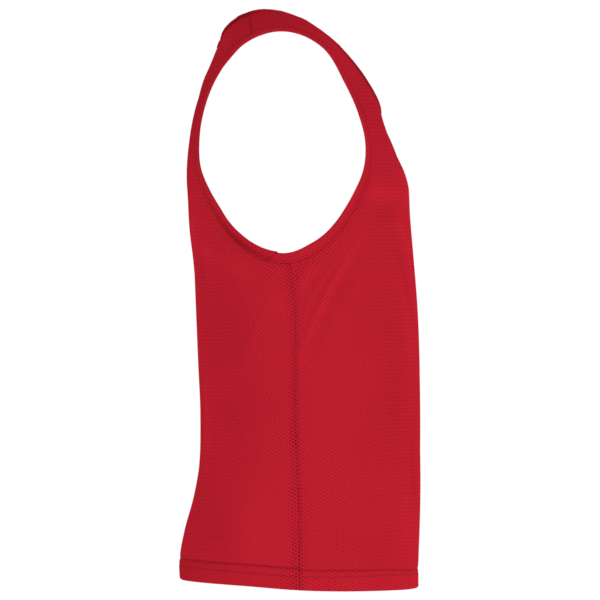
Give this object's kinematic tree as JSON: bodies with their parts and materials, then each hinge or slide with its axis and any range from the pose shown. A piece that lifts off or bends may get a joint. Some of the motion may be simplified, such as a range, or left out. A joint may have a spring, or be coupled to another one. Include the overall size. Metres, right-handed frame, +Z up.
{
  "type": "mesh training bib",
  "caption": "Sleeveless training bib of fine mesh, with a scooped neck, deep banded armholes and a straight turned hem, kept hollow as worn.",
  "frame": {"origin": "between the two shoulder straps, where the wearer's shoulders hold the bib up", "axes": "+Z up along the body, +X to the wearer's left, -Y to the wearer's front"},
  "size_m": [0.3966, 0.2824, 0.6793],
  "materials": {
    "mesh_cloth": "soft matt open-mesh knit",
    "band_cloth": "soft matt knit, doubled"
  },
  "bodies": {
    "root": {"front_panel": "mesh_cloth", "back_panel": "mesh_cloth", "neck_band": "band_cloth", "armhole_band_left": "band_cloth", "armhole_band_right": "band_cloth"}
  },
  "joints": []
}
